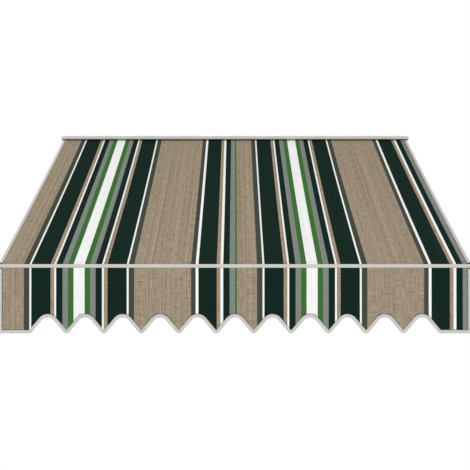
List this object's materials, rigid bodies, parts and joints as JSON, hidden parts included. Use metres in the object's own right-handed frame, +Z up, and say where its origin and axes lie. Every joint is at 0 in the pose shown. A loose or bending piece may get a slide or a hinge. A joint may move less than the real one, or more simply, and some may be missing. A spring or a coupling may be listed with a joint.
{
  "type": "fabric awning",
  "caption": "Retractable folding-arm wall awning with a striped fabric canopy, a rain hood and a wave-cut valance, extended.",
  "frame": {"origin": "middle of the hood's rear flange, on the wall", "axes": "+X across to the right as seen from the street, +Y into the wall, +Z up"},
  "size_m": [2.4216, 1.9691, 1.2083],
  "materials": {
    "coated": "light grey powder coat",
    "cast": "cast, light grey coated",
    "zinc": "zinc plated",
    "steel": "plain bright",
    "motor": "smooth drawn tube",
    "plastic": "moulded, fine grain",
    "black": "moulded",
    "rod": "smooth",
    "cloth": "woven acrylic in sand, bottle green, charcoal, grey, green and white stripes",
    "tape": "woven binding tape"
  },
  "bodies": {
    "wall_frame": {"hood": "coated", "hood_cap_left": "plastic", "hood_cap_right": "plastic", "hood_support_left": "zinc", "hood_support_centre": "zinc", "hood_support_right": "zinc", "torsion_bar": "zinc", "roller_cheek_left": "cast", "roller_cheek_right": "cast", "wall_bracket_left": "cast", "wall_bracket_right": "cast", "bracket_jaw_left": "cast", "bracket_jaw_right": "cast", "bracket_bolt_left": "steel", "bracket_bolt_right": "steel", "shoulder_bracket_left": "cast", "shoulder_bracket_right": "cast", "shoulder_screw_left": "steel", "shoulder_screw_right": "steel", "shoulder_pin_left": "steel", "shoulder_pin_right": "steel", "idle_bush": "black", "tube_motor": "motor", "canopy": "cloth", "canopy_binding_left": "tape", "canopy_binding_right": "tape"},
    "roller": {"roller_tube": "zinc", "roller_rod": "rod", "idle_plug": "plastic", "motor_crown": "plastic", "drive_wheel": "plastic"},
    "upper_arm_left": {"upper_arm_tube_left": "coated", "shoulder_eye_left": "cast", "elbow_fork_left": "cast", "elbow_pin_left": "steel", "arm_spring_left": "steel", "elbow_belt_left": "black"},
    "forearm_left": {"forearm_tube_left": "coated", "elbow_tongue_left": "cast", "forearm_tip_left": "cast"},
    "upper_arm_right": {"upper_arm_tube_right": "coated", "shoulder_eye_right": "cast", "elbow_fork_right": "cast", "elbow_pin_right": "steel", "arm_spring_right": "steel", "elbow_belt_right": "black"},
    "forearm_right": {"forearm_tube_right": "coated", "elbow_tongue_right": "cast", "forearm_tip_right": "cast"},
    "front_bar": {"front_bar": "coated", "front_bar_cap_left": "plastic", "front_bar_cap_right": "plastic", "front_bracket_left": "cast", "front_bracket_right": "cast", "front_pin_left": "steel", "front_pin_right": "steel", "canopy_rod": "rod", "valance_rod": "rod", "valance": "cloth", "valance_binding": "tape"}
  },
  "joints": [
    {"name": "arm_fold_left", "type": "hinge", "parent": "wall_frame", "child": "upper_arm_left", "pos_m": [-1.08, -0.16353, -0.10891], "axis": [0, -0.4091, 0.9125], "range_deg": [0, 74.5], "deforming": ["canopy", "canopy_binding_left", "canopy_binding_right"]},
    {"name": "elbow_left", "type": "hinge", "parent": "upper_arm_left", "child": "forearm_left", "pos_m": [-0.8804, -1.02037, -0.49309], "axis": [0, -0.4091, 0.9125], "range_deg": [-149, 0], "deforming": ["arm_spring_left", "elbow_belt_left"]},
    {"name": "front_pivot_left", "type": "hinge", "parent": "forearm_left", "child": "front_bar", "pos_m": [-1.08, -1.87721, -0.87726], "axis": [0, -0.4091, 0.9125], "range_deg": [0, 74.5]},
    {"name": "arm_fold_right", "type": "hinge", "parent": "wall_frame", "child": "upper_arm_right", "pos_m": [1.08, -0.16353, -0.10891], "axis": [0, -0.4091, 0.9125], "range_deg": [-74.5, 0]},
    {"name": "elbow_right", "type": "hinge", "parent": "upper_arm_right", "child": "forearm_right", "pos_m": [0.8804, -1.02037, -0.49309], "axis": [0, -0.4091, 0.9125], "range_deg": [0, 149], "deforming": ["arm_spring_right", "elbow_belt_right"]},
    {"name": "roller_spin", "type": "hinge", "parent": "wall_frame", "child": "roller", "pos_m": [0, -0.095, -0.054], "axis": [1, 0, 0], "range_deg": [-2338.6, 0]}
  ],
  "couplings": [
    {"joint": "elbow_left", "follows": "arm_fold_left", "ratio": -2},
    {"joint": "front_pivot_left", "follows": "arm_fold_left", "ratio": 1},
    {"joint": "arm_fold_right", "follows": "arm_fold_left", "ratio": -1},
    {"joint": "elbow_right", "follows": "arm_fold_left", "ratio": 2},
    {"joint": "roller_spin", "follows": "arm_fold_left", "ratio": -31.39}
  ]
}
